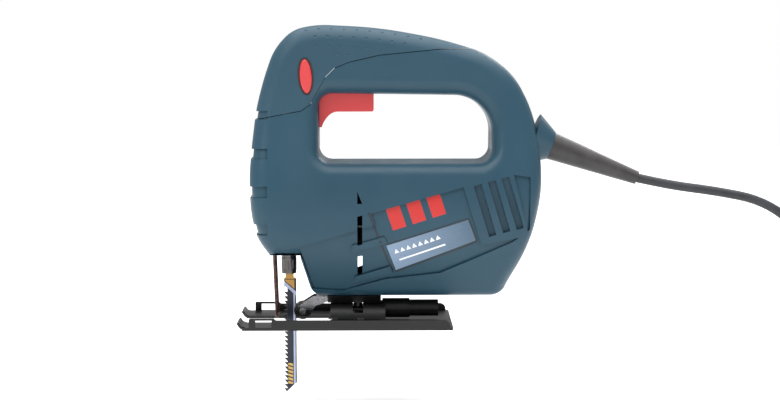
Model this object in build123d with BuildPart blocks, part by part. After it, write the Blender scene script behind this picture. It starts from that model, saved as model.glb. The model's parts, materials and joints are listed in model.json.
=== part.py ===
"""Jigsaw power tool with its scotch-yoke drive, bevel sole, trigger and mains cord.

Millimetres. X runs along the tool with the blade at -X, Y runs across it with the
lock button at -Y, and Z is up from the underside of the sole plate.
"""
import os
from math import acos, atan2, cos, degrees, pi, radians, sin, sqrt, tan

from build123d import *

os.makedirs("parts", exist_ok=True)

# ---- driving dimensions ---------------------------------------------------
WALL = 3.0                     # plastic wall
HOUSING_BOTTOM = 20.0
NOSE_BOTTOM = 49.5             # underside of the gear head, above the blade clamp
HALF_WIDTH = 33.0
GRIP_HALF_WIDTH = 17.8
SEAM = 0.25                    # half the gap between the top cover and the halves
SPLIT_GAP = 0.1                # half the gap between the two halves
RECESS = 1.6                   # depth of the side panel and the front grooves
INLAY = 0.5                    # depth of the label and the stripes

MOTOR_Z = 72.0                 # axis of the armature
MODULE = 0.8
PINION_TEETH = 9
WHEEL_TEETH = 54
SHIFT = 0.4                    # profile shift, plus on the pinion and minus on the wheel
CRANK_Z = MOTOR_Z + MODULE * (PINION_TEETH + WHEEL_TEETH) / 2
CRANK_THROW = 10.0             # half the stroke
PIN_R = 4.0
PLUNGER_X = -41.0              # axis of the plunger and the blade
PLUNGER_R = 4.0
YOKE_SLOT = 12.9               # height of the slot that the crank pin runs in
FIT = 0.05                     # radial clearance of a running fit

SOLE_T = 2.0                   # sheet of the sole
SOLE_HALF = 35.0
SOLE_FRONT = -72.0
SOLE_REAR = 72.0
BEVEL_Z = SOLE_T               # the sole tilts about this line
ARCH_R = 13.0
ARCH_BORE = 10.0

TRIGGER_PIVOT = (-24.5, 141.0)
LOCK_AT = (-28.0, 171.8)

CORD_R = 3.25
RELIEF_ROOT = (140.7, 123.2)
RELIEF_TIP = (200.9, 100.8)
FLOOR_Z = -61.0                # surface that the coiled lead lies on
COIL_AT = (420.0, -15.0)
COIL_COLUMNS = (30.5, 37.0, 43.5)
COIL_LIFT = 0.8                # thickness of the tie under the coil

# Side view of the housing, clockwise from the front of the gear head.
SIDE = [(-53.2, NOSE_BOTTOM), (-62, 62), (-65.8, 79), (-66.9, 102), (-65.4, 123),
        (-62.3, 150), (-56.5, 172), (-50, 190), (-37.5, 203.4), (-20, 206.8), (22, 204.7),
        (64, 197), (95, 187.5), (114.7, 172), (127.3, 147), (132.5, 115), (132.5, 92),
        (127.3, 67), (120, 48), (106, HOUSING_BOTTOM), (-19.5, HOUSING_BOTTOM),
        (-25, 25), (-32, NOSE_BOTTOM)]
SHARP = (SIDE[0], (106, HOUSING_BOTTOM), SIDE[-1])
# Hand opening, and the radius of each of its corners.
GRIP_HOLE = [(-19.6, 112.8), (98.5, 112.8), (98.5, 158.5), (-19.6, 160.0)]
GRIP_HOLE_R = [9, 9, 26, 9]
# Front view of the right half, from the keel up.
FRONT = [(0, HOUSING_BOTTOM), (14, HOUSING_BOTTOM), (19, 32), (32, 56), (HALF_WIDTH, 95),
         (20, 148), (GRIP_HALF_WIDTH, 215), (0, 215)]
# Joint of the top cover with the two halves.
COVER_LINE = [(-80, 139), (-48, 145.3), (-31.4, 148.4), (-25.2, 152.5), (-21.1, 160),
              (-14.9, 171), (-8.7, 177.2), (1.6, 181.4), (22.2, 186.1), (64, 190.2),
              (86, 190.6), (104, 190.8)]


def bend_radii(points, most, closed=True):
    """The largest arc that each corner of a run of points has room for."""
    count = len(points)
    found = []
    for index in range(count) if closed else range(1, count - 1):
        here = Vector(*points[index])
        back = Vector(*points[index - 1]) - here
        ahead = Vector(*points[(index + 1) % count]) - here
        half_turn = radians(180 - back.get_angle(ahead)) / 2
        room = 0.45 * min(back.length, ahead.length)
        found.append(min(most, room / max(tan(half_turn), 1e-6)))
    return found


def block(x, y, z, mode=Mode.ADD):
    """A box between two values along each axis."""
    with Locations(((x[0] + x[1]) / 2, (y[0] + y[1]) / 2, (z[0] + z[1]) / 2)):
        Box(x[1] - x[0], y[1] - y[0], z[1] - z[0], mode=mode)


def rod_x(y, z, radius, x, mode=Mode.ADD):
    """A cylinder along X."""
    with BuildSketch(Plane.YZ.offset(x[0])) as end:
        with Locations((y, z)):
            Circle(radius)
    extrude(end.sketch, amount=x[1] - x[0], mode=mode)


def rod_y(x, z, radius, y, mode=Mode.ADD):
    """A cylinder along Y."""
    with BuildSketch(Plane.XZ.offset(-y[1])) as end:
        with Locations((x, z)):
            Circle(radius)
    extrude(end.sketch, amount=y[1] - y[0], mode=mode)


def rod_z(x, y, radius, z, mode=Mode.ADD):
    """A cylinder along Z."""
    with BuildSketch(Plane.XY.offset(z[0])) as end:
        with Locations((x, y)):
            Circle(radius)
    extrude(end.sketch, amount=z[1] - z[0], mode=mode)


def side_prism(points, y=(-60, 60), mode=Mode.ADD):
    """A side view outline carried across the tool."""
    with BuildSketch(Plane.XZ.offset(-y[1])) as outline:
        with BuildLine():
            Polyline(*points, close=True)
        make_face()
    extrude(outline.sketch, amount=y[1] - y[0], mode=mode)


def both_sides(inner, outer):
    """The two ranges of Y that mirror each other."""
    return ((-outer, -inner), (inner, outer))


# ---- housing form ---------------------------------------------------------
def housing_form(inset):
    """The rounded solid shape of the housing, drawn in by inset all round."""
    side_radii = [0 if point in SHARP else radius
                  for point, radius in zip(SIDE, bend_radii(SIDE, 300))]
    front_radii = bend_radii(FRONT, 300, closed=False)
    with BuildPart() as form:
        with BuildSketch(Plane.XZ):
            with BuildLine():
                FilletPolyline(*SIDE, radius=side_radii, close=True)
            make_face()
            if inset:
                offset(amount=-inset, kind=Kind.INTERSECTION)
            with BuildSketch(mode=Mode.PRIVATE) as hole:
                with BuildLine():
                    FilletPolyline(*GRIP_HOLE, radius=GRIP_HOLE_R, close=True)
                make_face()
                if inset:
                    offset(amount=inset)
            add(hole.sketch, mode=Mode.SUBTRACT)
        extrude(amount=60, both=True)
        with BuildSketch(Plane.YZ.offset(-100)):
            with BuildLine():
                FilletPolyline(*FRONT, radius=front_radii)
                mirror(about=Plane.YZ)
            make_face()
            if inset:
                offset(amount=-inset, kind=Kind.INTERSECTION)
        extrude(amount=300, mode=Mode.INTERSECT)

        # The rim of each flank is rounded, first in the hand opening, then outside.
        def rim():
            edges = form.faces().filter_by(lambda face: abs(face.normal_at().Y) > 0.2).edges()
            return edges.filter_by(lambda edge: sum(edge.is_same(e) for e in edges) == 1)

        def in_hole(edge):
            spot = edge.center()
            return -23 < spot.X < 103 and 108 < spot.Z < 163.5

        def under(edge):
            spot = edge.center()
            return spot.Z < HOUSING_BOTTOM + 1 + inset or (spot.Z < 49.4 + inset and spot.X < 60)

        outer_rim = [edge for edge in rim() if not in_hole(edge) and not under(edge)]
        outer_spots = [edge.center() for edge in outer_rim]
        fillet([edge for edge in rim() if in_hole(edge)], 10 - inset)
        outer_rim = [edge for edge in form.edges()
                     if any((edge.center() - spot).length < 1e-4 for spot in outer_spots)]
        fillet(outer_rim, 12 - 5 / 3 * inset if inset else 12)
    return form.part


outer_form = housing_form(0)
recess_form = housing_form(RECESS)
inlay_form = housing_form(RECESS + INLAY)
cavity_form = housing_form(WALL)

# Cord outlet at the back: everything on it is placed along this axis.
outlet_slope = atan2(RELIEF_TIP[1] - RELIEF_ROOT[1], RELIEF_TIP[0] - RELIEF_ROOT[0])
outlet_dir = (cos(outlet_slope), 0, sin(outlet_slope))
outlet = Plane(origin=(RELIEF_ROOT[0], 0, RELIEF_ROOT[1]), x_dir=(0, 1, 0), z_dir=outlet_dir)
relief_length = sqrt((RELIEF_TIP[0] - RELIEF_ROOT[0]) ** 2 + (RELIEF_TIP[1] - RELIEF_ROOT[1]) ** 2)

# Side panel: everything below a line that climbs to the rear lies deeper.
PANEL_TOP = [(-53.6, 58.2), (7.2, 76.0), (14.7, 79.4), (75.1, 96.4), (110.7, 106.0)]
panel_area = PANEL_TOP + [(124, 104), (124, 68), (112, 60), (63.4, 37.5), (26, 33), (-3, 24.5),
                          (-24, 26), (-31, 49.6), (-53.6, 50.5)]
band_area = [(-53.6, 58.2), (-53.6, 50.5), (3.1, 67.3), (19, 71.8), (16, 79.8), (7.2, 76.0)]
rib_areas = ([(3.1, 52.5), (3.1, 57.6), (25, 63.7), (27, 59.2)],
             [(5, 30.5), (5, 34.7), (29.5, 42.6), (31.1, 37.5)])
louvre_area = [(78.2, 99.1), (112, 108.7), (123.2, 64.2), (90.9, 58.0)]

with BuildPart() as side_recess:
    add(outer_form)
    side_prism(panel_area, mode=Mode.INTERSECT)
    add(recess_form, mode=Mode.SUBTRACT)
    for raised in (band_area, *rib_areas, louvre_area):
        side_prism(raised, mode=Mode.SUBTRACT)

GROOVES = ((141.8, 147.7), (115.5, 122.5), (89.6, 97.3), (64.0, 71.5))
with BuildPart() as front_grooves:
    add(outer_form)
    with BuildPart(mode=Mode.INTERSECT):
        for low, high in GROOVES:
            side_prism([(-80, low - 0.8), (-54, low + 0.8), (-54, high + 0.8), (-80, high - 0.8)])
    add(recess_form, mode=Mode.SUBTRACT)

label_area = [(26.5, 57.4), (81.8, 75.3), (87.2, 61.0), (33.2, 39.6)]
stripe_areas = [[(x, 58.0 + 0.32 * x), (x + 9, 60.9 + 0.32 * x), (x + 3.5, 77.4 + 0.32 * x),
                 (x - 5.5, 74.5 + 0.32 * x)] for x in (31, 44.5, 58)]


def inlay(area):
    """Both flush patches of one outline, one on each side panel."""
    with BuildPart() as patch:
        add(recess_form)
        side_prism(area, mode=Mode.INTERSECT)
        add(inlay_form, mode=Mode.SUBTRACT)
    return patch.part


with BuildPart() as name_plate:
    add(inlay(label_area))
name_plate.part.label = "name_plate"
export_step(name_plate.part, "parts/name_plate.step")

with BuildPart() as trim_stripes:
    for area in stripe_areas:
        add(inlay(area))
trim_stripes.part.label = "trim_stripes"
export_step(trim_stripes.part, "parts/trim_stripes.step")

# ---- housing shell --------------------------------------------------------
SCREWS = ((-58.5, 78), (-19, 29), (98, 30), (115, 88), (60, 177), (106, 166))
BOSS_R = 4.75
SHANK_R = 1.7
SEAT_Y = 8.0                   # plane that the screw heads sit on
VENT_SLOTS = ([(6.8, 94.6), (10.2, 86.2), (6.8, 86.2)],
              [(6.8, 77.6), (10.2, 78.6), (10.2, 58.4), (6.8, 57.6)],
              [(6.8, 49.6), (10.2, 50.3), (10.2, 36.9), (6.8, 35.8)])
LOUVRES = [[(x, z), (x + 5.2, z + 1.4), (x + 15.4, z - 33.2), (x + 10.6, z - 34.6)]
           for x, z in ((85.5, 98.2), (95, 100.8), (104.2, 103))]
LOUVRE_FLOOR = 28.8            # distance of the louvre floors from the middle

with BuildPart() as bosses:
    for x, z in SCREWS:
        rod_y(x, z, BOSS_R, (-40, 40))
    # Cradle ribs for the stator and the gear frame.
    for x in (27, 54):
        block((x, x + 2.5), (-40, 40), (20, 110))
    rod_x(0, MOTOR_Z, 28.2, (20, 62), mode=Mode.SUBTRACT)
    block((20, 62), (-24, 24), (100, 115), mode=Mode.SUBTRACT)
    block((20, 62), (-12, 12), (20, 46), mode=Mode.SUBTRACT)
    # Backing of the louvres.
    for span in both_sides(27.5, 40):
        block((83.5, 121.5), span, (61, 108))
    add(cavity_form, mode=Mode.INTERSECT)

with BuildPart() as case:
    add(outer_form)
    with BuildSketch(outlet.offset(-14)):
        Circle(18)
    with BuildSketch(outlet):
        Circle(10)
    loft()
    add(side_recess.part, mode=Mode.SUBTRACT)
    add(front_grooves.part, mode=Mode.SUBTRACT)
    add(cavity_form, mode=Mode.SUBTRACT)
    add(bosses.part)
    # Bore for the root of the bend relief.
    with BuildSketch(outlet.offset(-24)):
        Circle(8)
    extrude(amount=26, mode=Mode.SUBTRACT)
    # Screw seats, open to +Y.
    for x, z in SCREWS:
        rod_y(x, z, SHANK_R, (-12, 30), mode=Mode.SUBTRACT)
        rod_y(x, z, 3.6, (SEAT_Y, 40), mode=Mode.SUBTRACT)
    # Blade clamp passage, guard wire sockets and trigger slots.
    rod_z(PLUNGER_X, 0, 7.6, (45, 56), mode=Mode.SUBTRACT)
    for y in (-7, 7):
        rod_z(-50.7, y, 1.15, (45, 56), mode=Mode.SUBTRACT)
    block((-19.65, 19.0), (-7.9, 7.9), (134, 166), mode=Mode.SUBTRACT)
    block((-30, -18), (-3.6, 3.6), (133.5, 149), mode=Mode.SUBTRACT)
    side_prism([(-19, 142), (-19.6, 142), (-22.6, 159), (-21, 166), (-19, 166)], y=(-7.9, 7.9),
               mode=Mode.SUBTRACT)
    # Cooling slots through both flanks, and the blind louvres behind them.
    for span in both_sides(11, 45):
        for slot in VENT_SLOTS:
            side_prism(slot, y=span, mode=Mode.SUBTRACT)
    for span in both_sides(LOUVRE_FLOOR, 45):
        for slot in LOUVRES:
            side_prism(slot, y=span, mode=Mode.SUBTRACT)
    add(name_plate.part, mode=Mode.SUBTRACT)
    add(trim_stripes.part, mode=Mode.SUBTRACT)
    # Trigger pin sockets in the front wall.
    for span in both_sides(3.6, 9):
        rod_y(*TRIGGER_PIVOT, 4.2, span)
    rod_y(*TRIGGER_PIVOT, 1.5, (-7.5, 7.5), mode=Mode.SUBTRACT)


def cover_area(shift):
    """Everything above the cover line, moved up by shift."""
    lower = [(x, z + shift) for x, z in COVER_LINE]
    return lower + [(104, 225), (-80, 225)]


def lock_outline(grow):
    """Ellipse of the lock button, leaning back at the top."""
    with BuildSketch(Plane.XZ.offset(0)) as outline:
        with Locations(LOCK_AT):
            Ellipse(4.2 + grow, 11.6 + grow, rotation=4)
    return outline.sketch


def half_case(y):
    """One half of the case below the cover line."""
    with BuildPart() as half:
        add(case.part)
        side_prism(cover_area(-SEAM), mode=Mode.SUBTRACT)
        block((-100, 200), y, (0, 250), mode=Mode.INTERSECT)
    return half.part


with BuildPart() as housing_left:
    add(half_case((-60, -SPLIT_GAP)))
housing_left.part.label = "housing_left"
export_step(housing_left.part, "parts/housing_left.step")

with BuildPart() as housing_right:
    add(half_case((SPLIT_GAP, 60)))
housing_right.part.label = "housing_right"
export_step(housing_right.part, "parts/housing_right.step")

with BuildPart() as top_cover:
    add(case.part)
    side_prism(cover_area(SEAM), mode=Mode.INTERSECT)
    extrude(lock_outline(1.3), amount=30, mode=Mode.SUBTRACT)
top_cover.part.label = "top_cover"
export_step(top_cover.part, "parts/top_cover.step")

# ---- gear frame and plunger guide -----------------------------------------
RIM_R = 23.4                   # inside of the cup around the crank wheel
with BuildPart() as gear_frame:
    # Vertical plate that holds the front bearing and the wheel axle.
    with BuildSketch(Plane.YZ.offset(-20)):
        with BuildLine():
            Polyline((-22, 50), (22, 50), (26, 62), (26, 102), (17, 109.4), (-17, 109.4),
                     (-26, 102), (-26, 62), close=True)
        make_face()
    extrude(amount=5)
    rod_x(0, MOTOR_Z, 13.5, (-22, -14))
    rod_x(0, CRANK_Z, 8, (-20, -13))
    # Cup around the wheel, cut back below the hand opening.
    rod_x(0, CRANK_Z, RIM_R + 2.2, (-31, -15))
    rod_x(0, CRANK_Z, RIM_R, (-31, -20), mode=Mode.SUBTRACT)
    block((-23.3, -12), (-30, 30), (109.4, 130), mode=Mode.SUBTRACT)
    block((-32, -22.5), (-30, 30), (60, 96), mode=Mode.SUBTRACT)
    # Upper and lower arms with the seats of the plunger bushes.
    block((-49.5, -23.5), (-9.5, 9.5), (126, 138))
    block((-31, -23.5), (-9.5, 9.5), (121.2, 138))
    block((-49.5, -14), (-9.5, 9.5), (58.5, 65.5))
    rod_z(PLUNGER_X, 0, 9, (58.5, 69))
    rod_z(PLUNGER_X, 0, 7, (58, 70), mode=Mode.SUBTRACT)
    rod_z(PLUNGER_X, 0, 7, (125, 139), mode=Mode.SUBTRACT)
    # Room for the trigger pin's sockets.
    block((-29.2, -20), (-10, 10), (135.8, 140), mode=Mode.SUBTRACT)
    # Seats of the front bearing, the armature shaft and the axle.
    rod_x(0, MOTOR_Z, 11, (-21, -14), mode=Mode.SUBTRACT)
    rod_x(0, MOTOR_Z, 7, (-23, -20), mode=Mode.SUBTRACT)
    rod_x(0, CRANK_Z, 4, (-21, -12), mode=Mode.SUBTRACT)
gear_frame.part.label = "gear_frame"
export_step(gear_frame.part, "parts/gear_frame.step")


# Sintered sleeves that the plunger rod slides in.
with BuildPart() as plunger_bushes:
    for low, high in ((58.5, 70), (125.5, 138.5)):
        rod_z(PLUNGER_X, 0, 7, (low, high))
    rims = plunger_bushes.edges().filter_by(GeomType.CIRCLE)
    chamfer(rims, 0.5)
    rod_z(PLUNGER_X, 0, PLUNGER_R + FIT, (50, 150), mode=Mode.SUBTRACT)
plunger_bushes.part.label = "plunger_bushes"
export_step(plunger_bushes.part, "parts/plunger_bushes.step")

with BuildPart() as wheel_axle:
    rod_x(0, CRANK_Z, 4, (-30.3, -12.5))
    rod_x(0, CRANK_Z, 3.4, (-31.2, -30.3))
wheel_axle.part.label = "wheel_axle"
export_step(wheel_axle.part, "parts/wheel_axle.step")

with BuildPart() as axle_ring:
    rod_x(0, CRANK_Z, 5.2, (-31.1, -30.3))
    rod_x(0, CRANK_Z, 3.4, (-32, -30), mode=Mode.SUBTRACT)
axle_ring.part.label = "axle_ring"
export_step(axle_ring.part, "parts/axle_ring.step")


# ---- gears ----------------------------------------------------------------
def tooth_sketch(teeth, shift, tip_r, first_angle):
    """Outline of involute teeth as flat points, about the origin."""
    pressure = radians(20)
    base_r = MODULE * teeth / 2 * cos(pressure)
    root_r = MODULE * (teeth / 2 - 1.25 + shift)
    backlash = 0.07
    thick = MODULE * (pi / 2 + 2 * shift * tan(pressure)) - backlash

    def half_angle(radius):
        lean = acos(min(1, base_r / radius))
        return thick / (MODULE * teeth) + tan(pressure) - pressure - tan(lean) + lean

    steps = 5
    start_r = max(base_r, root_r)
    radii = [root_r] + [start_r + (tip_r - start_r) * i / steps for i in range(steps + 1)]
    outline = []
    for tooth in range(teeth):
        middle = radians(first_angle + 360 * tooth / teeth)
        outline += [(r, middle - half_angle(r)) for r in radii]
        outline += [(r, middle + half_angle(r)) for r in reversed(radii)]
    with BuildSketch() as face:
        with BuildLine():
            Polyline(*[(r * cos(a), r * sin(a)) for r, a in outline], close=True)
        make_face()
    return face.sketch


# The pinion has a tooth on the line of centres where the wheel has a gap.
pinion_tip = MODULE * (PINION_TEETH / 2 + 1 + SHIFT)
wheel_tip = MODULE * (WHEEL_TEETH / 2 + 1 - SHIFT) - 0.13
pinion_face = tooth_sketch(PINION_TEETH, SHIFT, pinion_tip, 90)
wheel_face = tooth_sketch(WHEEL_TEETH, -SHIFT, wheel_tip, 270 + 180 / WHEEL_TEETH)

with BuildPart() as crank_wheel:
    with BuildSketch(Plane.YZ.offset(-30)):
        with Locations((0, CRANK_Z)):
            add(wheel_face)
    extrude(amount=7)
    rod_x(0, CRANK_Z, 7, (-23, -20.4))
    # Web thinned between hub and rim on the rear face, and lightening holes.
    with BuildSketch(Plane.YZ.offset(-25.5)):
        with Locations((0, CRANK_Z)):
            Circle(18)
            Circle(8.5, mode=Mode.SUBTRACT)
    extrude(amount=3, mode=Mode.SUBTRACT)
    for angle in (120, 180, 240):
        rod_x(13.2 * cos(radians(angle)), CRANK_Z + 13.2 * sin(radians(angle)), 3.2,
              (-31, -22), mode=Mode.SUBTRACT)
    rod_x(CRANK_THROW, CRANK_Z, 2.6, (-31, -22), mode=Mode.SUBTRACT)
    rod_x(0, CRANK_Z, 4 + FIT, (-31, -20), mode=Mode.SUBTRACT)
crank_wheel.part.label = "crank_wheel"
export_step(crank_wheel.part, "parts/crank_wheel.step")

with BuildPart() as crank_pin:
    rod_x(CRANK_THROW, CRANK_Z, PIN_R, (-36.2, -30.2))
    rod_x(CRANK_THROW, CRANK_Z, 2.6, (-30.2, -25.6))
    chamfer(crank_pin.edges().filter_by(GeomType.CIRCLE).sort_by(Axis.X)[0], 0.4)
crank_pin.part.label = "crank_pin"
export_step(crank_pin.part, "parts/crank_pin.step")

# ---- plunger --------------------------------------------------------------
with BuildPart() as plunger_rod:
    rod_z(PLUNGER_X, 0, PLUNGER_R, (47.6, 149))
    chamfer(plunger_rod.edges().filter_by(GeomType.CIRCLE).sort_by(Axis.Z)[-1], 0.8)
plunger_rod.part.label = "plunger_rod"
export_step(plunger_rod.part, "parts/plunger_rod.step")

with BuildPart() as scotch_yoke:
    block((-46.6, -32.2), (-18, 18), (CRANK_Z - 12, CRANK_Z + 12))
    fillet(scotch_yoke.edges().filter_by(Axis.X), 3)
    block((-36.6, -30), (-14.6, 14.6), (CRANK_Z - YOKE_SLOT / 2, CRANK_Z + YOKE_SLOT / 2),
          mode=Mode.SUBTRACT)
    rod_z(PLUNGER_X, 0, PLUNGER_R, (60, 130), mode=Mode.SUBTRACT)
    for y in (-13, 13):
        rod_x(y, CRANK_Z, 2.6, (-50, -30), mode=Mode.SUBTRACT)
scotch_yoke.part.label = "scotch_yoke"
export_step(scotch_yoke.part, "parts/scotch_yoke.step")

BLADE_HALF_T = 0.625
with BuildPart() as blade_clamp:
    rod_z(PLUNGER_X, 0, 5.1, (34.6, 36.4))
    rod_z(PLUNGER_X, 0, 4.4, (36.4, 45.9))
    rod_z(PLUNGER_X, 0, 5.1, (45.9, 47.6))
    block((-45.2, -36.8), (-BLADE_HALF_T, BLADE_HALF_T), (34, 45.4), mode=Mode.SUBTRACT)
blade_clamp.part.label = "blade_clamp"
export_step(blade_clamp.part, "parts/blade_clamp.step")

with BuildPart() as clamp_collar:
    rod_z(PLUNGER_X, 0, 5.3, (36.7, 45.6))
    rod_z(PLUNGER_X, 0, 4.4 + FIT, (36, 46), mode=Mode.SUBTRACT)
    for turn in range(0, 360, 30):
        rod_z(PLUNGER_X + 5.6 * cos(radians(turn)), 5.6 * sin(radians(turn)), 0.6,
              (38, 44.4), mode=Mode.SUBTRACT)
clamp_collar.part.label = "clamp_collar"
export_step(clamp_collar.part, "parts/clamp_collar.step")

# Blade: shank with lugs, then a toothed front edge and a straight back.
TOOTH_PITCH = 3.12
TOOTH_COUNT = 23
TEETH_TOP = 21.1
BLADE_FRONT = -44.6
BLADE_BACK = -36.0
teeth = []
for index in range(TOOTH_COUNT):
    top = TEETH_TOP - index * TOOTH_PITCH
    teeth += [(BLADE_FRONT + 2.4, top + 0.1), (BLADE_FRONT, top), (BLADE_FRONT + 2.3, top - 2.6)]
with BuildPart() as saw_blade:
    with BuildSketch(Plane.XZ.offset(-BLADE_HALF_T)):
        with BuildLine():
            Polyline((-44.2, 34.6), (-44.2, 38), (-45, 38), (-45, 41), (-44.2, 41), (-44.2, 45.2),
                     (-37.8, 45.2), (-37.8, 41), (-37, 41), (-37, 38), (-37.8, 38), (-37.8, 34.6),
                     (-37.8, 31.6), (BLADE_BACK, 30.6), (BLADE_BACK, -43.2), (-38.6, -45.4),
                     (-43.1, -49.7), *reversed(teeth[:-1]), (BLADE_FRONT + 2.2, 24),
                     (BLADE_FRONT, 25.6), (BLADE_FRONT, 30.6), (-43.4, 31.6), (-43.4, 33.8),
                     close=True)
        make_face()
    extrude(amount=2 * BLADE_HALF_T)
saw_blade.part.label = "saw_blade"
export_step(saw_blade.part, "parts/saw_blade.step")

# ---- motor ----------------------------------------------------------------
CORE = (22, 60)
with BuildPart() as armature_shaft:
    with BuildSketch(Plane.YZ.offset(-31)):
        with Locations((0, MOTOR_Z)):
            add(pinion_face)
    extrude(amount=8)
    rod_x(0, MOTOR_Z, 4, (-23, 86))
    rod_x(0, MOTOR_Z, 3.5, (86, 96))
armature_shaft.part.label = "armature_shaft"
export_step(armature_shaft.part, "parts/armature_shaft.step")

SLOTS = 12
with BuildPart() as armature_core:
    rod_x(0, MOTOR_Z, 16.2, CORE)
    rod_x(0, MOTOR_Z, 4, (0, 90), mode=Mode.SUBTRACT)
    with BuildSketch(Plane.YZ.offset(CORE[0])):
        with Locations((0, MOTOR_Z)):
            with PolarLocations(12.2, SLOTS):
                SlotOverall(6.4, 3)
            with PolarLocations(15.6, SLOTS):
                Rectangle(2.5, 1.4)
    extrude(amount=CORE[1] - CORE[0], mode=Mode.SUBTRACT)
armature_core.part.label = "armature_core"
export_step(armature_core.part, "parts/armature_core.step")

with BuildPart() as armature_windings:
    for low, high in ((15.5, 22), (60, 66.5)):
        rod_x(0, MOTOR_Z, 15, (low, high))
    with BuildSketch(Plane.YZ.offset(CORE[0])):
        with Locations((0, MOTOR_Z)):
            with PolarLocations(12.2, SLOTS):
                SlotOverall(6.2, 2.8)
    extrude(amount=CORE[1] - CORE[0])
    rod_x(0, MOTOR_Z, 4, (0, 90), mode=Mode.SUBTRACT)
    coil_ends = armature_windings.edges().filter_by(GeomType.CIRCLE).group_by(Axis.X)
    fillet((coil_ends[0] + coil_ends[-1]).filter_by(lambda edge: edge.radius > 14), 2.5)
armature_windings.part.label = "armature_windings"
export_step(armature_windings.part, "parts/armature_windings.step")

with BuildPart() as commutator:
    rod_x(0, MOTOR_Z, 12.4, (68.5, 71))
    rod_x(0, MOTOR_Z, 11, (71, 84))
    rod_x(0, MOTOR_Z, 4, (60, 90), mode=Mode.SUBTRACT)
    with BuildSketch(Plane.YZ.offset(71)):
        with Locations((0, MOTOR_Z)):
            with PolarLocations(11, 2 * SLOTS):
                Rectangle(1.4, 0.6)
    extrude(amount=14, mode=Mode.SUBTRACT)
commutator.part.label = "commutator"
export_step(commutator.part, "parts/commutator.step")

BLADES = 14
with BuildPart() as fan:
    rod_x(0, MOTOR_Z, 8, (1, 13))
    rod_x(0, MOTOR_Z, 25.5, (11.6, 13))
    with BuildSketch(Plane.YZ.offset(2.5)):
        with Locations((0, MOTOR_Z)):
            with PolarLocations(16.3, BLADES):
                Rectangle(18.4, 1.3, rotation=12)
    extrude(amount=10)
    rod_x(0, MOTOR_Z, 4, (0, 90), mode=Mode.SUBTRACT)
fan.part.label = "fan"
export_step(fan.part, "parts/fan.step")


def ball_bearing(x, bore_r, outer_r, width):
    """Races, balls and shield of a sealed bearing, as one closed ring."""
    with BuildPart() as ring:
        rod_x(0, MOTOR_Z, outer_r, (x, x + width))
        rod_x(0, MOTOR_Z, bore_r, (x - 1, x + width + 1), mode=Mode.SUBTRACT)
        middle = (bore_r + outer_r) / 2
        for start in (x, x + width - 0.5):
            with BuildSketch(Plane.YZ.offset(start)) as groove:
                with Locations((0, MOTOR_Z)):
                    Circle(middle + 1.6)
                    Circle(middle - 1.6, mode=Mode.SUBTRACT)
            extrude(groove.sketch, amount=0.5, mode=Mode.SUBTRACT)
    return ring.part


with BuildPart() as front_bearing:
    add(ball_bearing(-21, 4, 11, 7))
front_bearing.part.label = "front_bearing"
export_step(front_bearing.part, "parts/front_bearing.step")

with BuildPart() as rear_bearing:
    add(ball_bearing(89, 3.5, 9.5, 6))
rear_bearing.part.label = "rear_bearing"
export_step(rear_bearing.part, "parts/rear_bearing.step")

with BuildPart() as stator_core:
    rod_x(0, MOTOR_Z, 28, CORE)
    with BuildSketch(Plane.YZ.offset(CORE[0])):
        with Locations((0, MOTOR_Z)):
            Circle(22)
            Rectangle(25, 50, mode=Mode.SUBTRACT)
            Circle(17)
    extrude(amount=CORE[1] - CORE[0], mode=Mode.SUBTRACT)
stator_core.part.label = "stator_core"
export_step(stator_core.part, "parts/stator_core.step")

with BuildPart() as field_coils:
    with BuildSketch(Plane.YZ.offset(CORE[0] - 7)):
        with Locations((0, MOTOR_Z)):
            Circle(21.8)
            Circle(17.3, mode=Mode.SUBTRACT)
            Rectangle(60, 1.2, mode=Mode.SUBTRACT)
    extrude(amount=CORE[1] - CORE[0] + 14)
    block((CORE[0] - 0.4, CORE[1] + 0.4), (-12.8, 12.8), (40, 104), mode=Mode.SUBTRACT)
field_coils.part.label = "field_coils"
export_step(field_coils.part, "parts/field_coils.step")

# Brush carrier: end plate with the rear bearing seat and an arm to each holder.
with BuildPart() as brush_carrier:
    rod_x(0, MOTOR_Z, 12.3, (86.5, 96))
    block((86.5, 89), (-27, 27), (58, 86))
    for inner, outer in both_sides(14, 27):
        block((70, 87), (inner, outer), (66, 78))
        block((72.6, 79.4), (inner - 1, outer + 1), (68.6, 75.4), mode=Mode.SUBTRACT)
    rod_x(0, MOTOR_Z, 9.5, (89, 95), mode=Mode.SUBTRACT)
    rod_x(0, MOTOR_Z, 6.5, (80, 97), mode=Mode.SUBTRACT)
brush_carrier.part.label = "brush_carrier"
export_step(brush_carrier.part, "parts/brush_carrier.step")

with BuildPart() as brush_holders:
    for inner, outer in both_sides(13, 26.6):
        block((72.6, 79.4), (inner, outer), (68.6, 75.4))
    for inner, outer in both_sides(12, 25.8):
        block((73.2, 78.8), (inner, outer), (69.2, 74.8), mode=Mode.SUBTRACT)
brush_holders.part.label = "brush_holders"
export_step(brush_holders.part, "parts/brush_holders.step")

with BuildPart() as carbon_brushes:
    for inner, outer in both_sides(11.15, 21):
        block((73.3, 78.7), (inner, outer), (69.3, 74.7))
carbon_brushes.part.label = "carbon_brushes"
export_step(carbon_brushes.part, "parts/carbon_brushes.step")


def spring(plane, radius, wire_r, length, turns):
    """A helical compression spring that stands on a plane."""
    rise = length - 2 * wire_r
    with BuildPart() as coil:
        with BuildLine():
            path = Helix(pitch=rise / turns, height=rise, radius=radius, center=(0, 0, wire_r))
        with BuildSketch(Plane(origin=path @ 0, z_dir=path % 0)):
            Circle(wire_r)
        sweep()
    return coil.part.moved(plane.location)


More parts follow.
